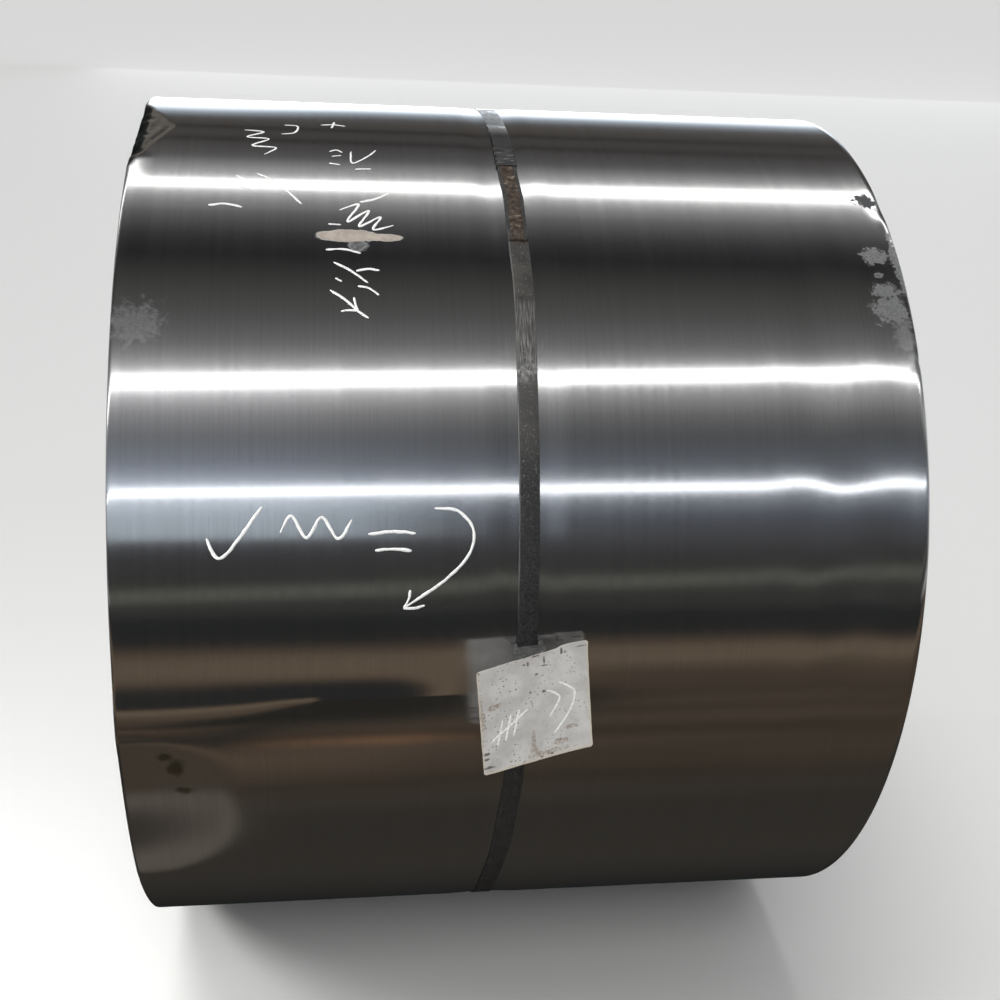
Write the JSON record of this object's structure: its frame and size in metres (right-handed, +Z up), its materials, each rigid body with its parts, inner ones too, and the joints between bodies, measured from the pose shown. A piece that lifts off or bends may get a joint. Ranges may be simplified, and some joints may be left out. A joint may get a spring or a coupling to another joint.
{
  "type": "steel coil",
  "caption": "Coil of flat steel strip lying on its side, with an open bore, one steel strap with a crimped seal and a bent sheet tag.",
  "frame": {"origin": "centre of the bore, at the middle of the strip's width", "axes": "+X along the coil's axis, -Y towards the front with the tag, +Z up"},
  "size_m": [1.254, 1.6549, 1.585],
  "materials": {
    "coil_steel": "bright rolled strip with fine lines round the coil",
    "strap_steel": "worn black paint with rust",
    "tag_sheet": "matte, weathered, with rusty edges"
  },
  "bodies": {
    "root": {"coil": "coil_steel", "strap": "strap_steel", "strap_seal": "strap_steel", "tag": "tag_sheet"}
  },
  "joints": []
}
